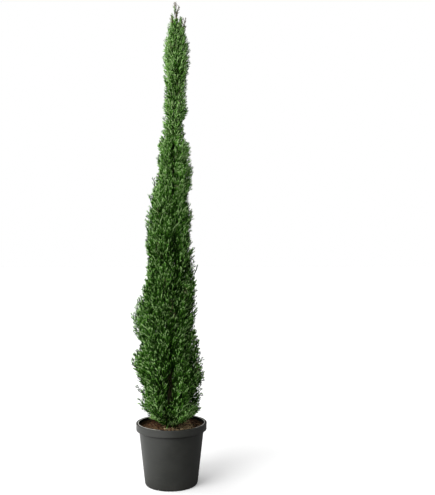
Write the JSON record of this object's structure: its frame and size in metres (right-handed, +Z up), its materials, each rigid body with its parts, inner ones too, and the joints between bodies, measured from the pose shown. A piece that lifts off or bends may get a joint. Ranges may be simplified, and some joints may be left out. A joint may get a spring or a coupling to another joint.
{
  "type": "columnar cypress in a nursery pot",
  "caption": "Slender columnar cypress with dense upright sprays round one straight trunk, standing in a round tapering plastic nursery pot filled with peat.",
  "frame": {"origin": "centre of the pot's flat underside, on the pot's axis", "axes": "+Z up the plant, -Y towards its front, where the furrow between the two front columns of foliage shows, +X to its right seen from the front"},
  "size_m": [0.2693, 0.26, 1.775],
  "materials": {
    "pot": "satin",
    "soil": "matte",
    "bark": "matte",
    "foliage": "matte"
  },
  "bodies": {
    "root": {"pot": "pot", "soil": "soil", "trunk": "bark", "bough_left": "bark", "bough_right": "bark", "bough_back": "bark", "foliage_left_1": "foliage", "foliage_left_2": "foliage", "foliage_left_3": "foliage", "foliage_left_4": "foliage", "foliage_left_5": "foliage", "foliage_right_1": "foliage", "foliage_right_2": "foliage", "foliage_right_3": "foliage", "foliage_right_4": "foliage", "foliage_right_5": "foliage", "foliage_back_1": "foliage", "foliage_back_2": "foliage", "foliage_back_3": "foliage", "foliage_back_4": "foliage", "foliage_back_5": "foliage", "foliage_top": "foliage"}
  },
  "joints": []
}
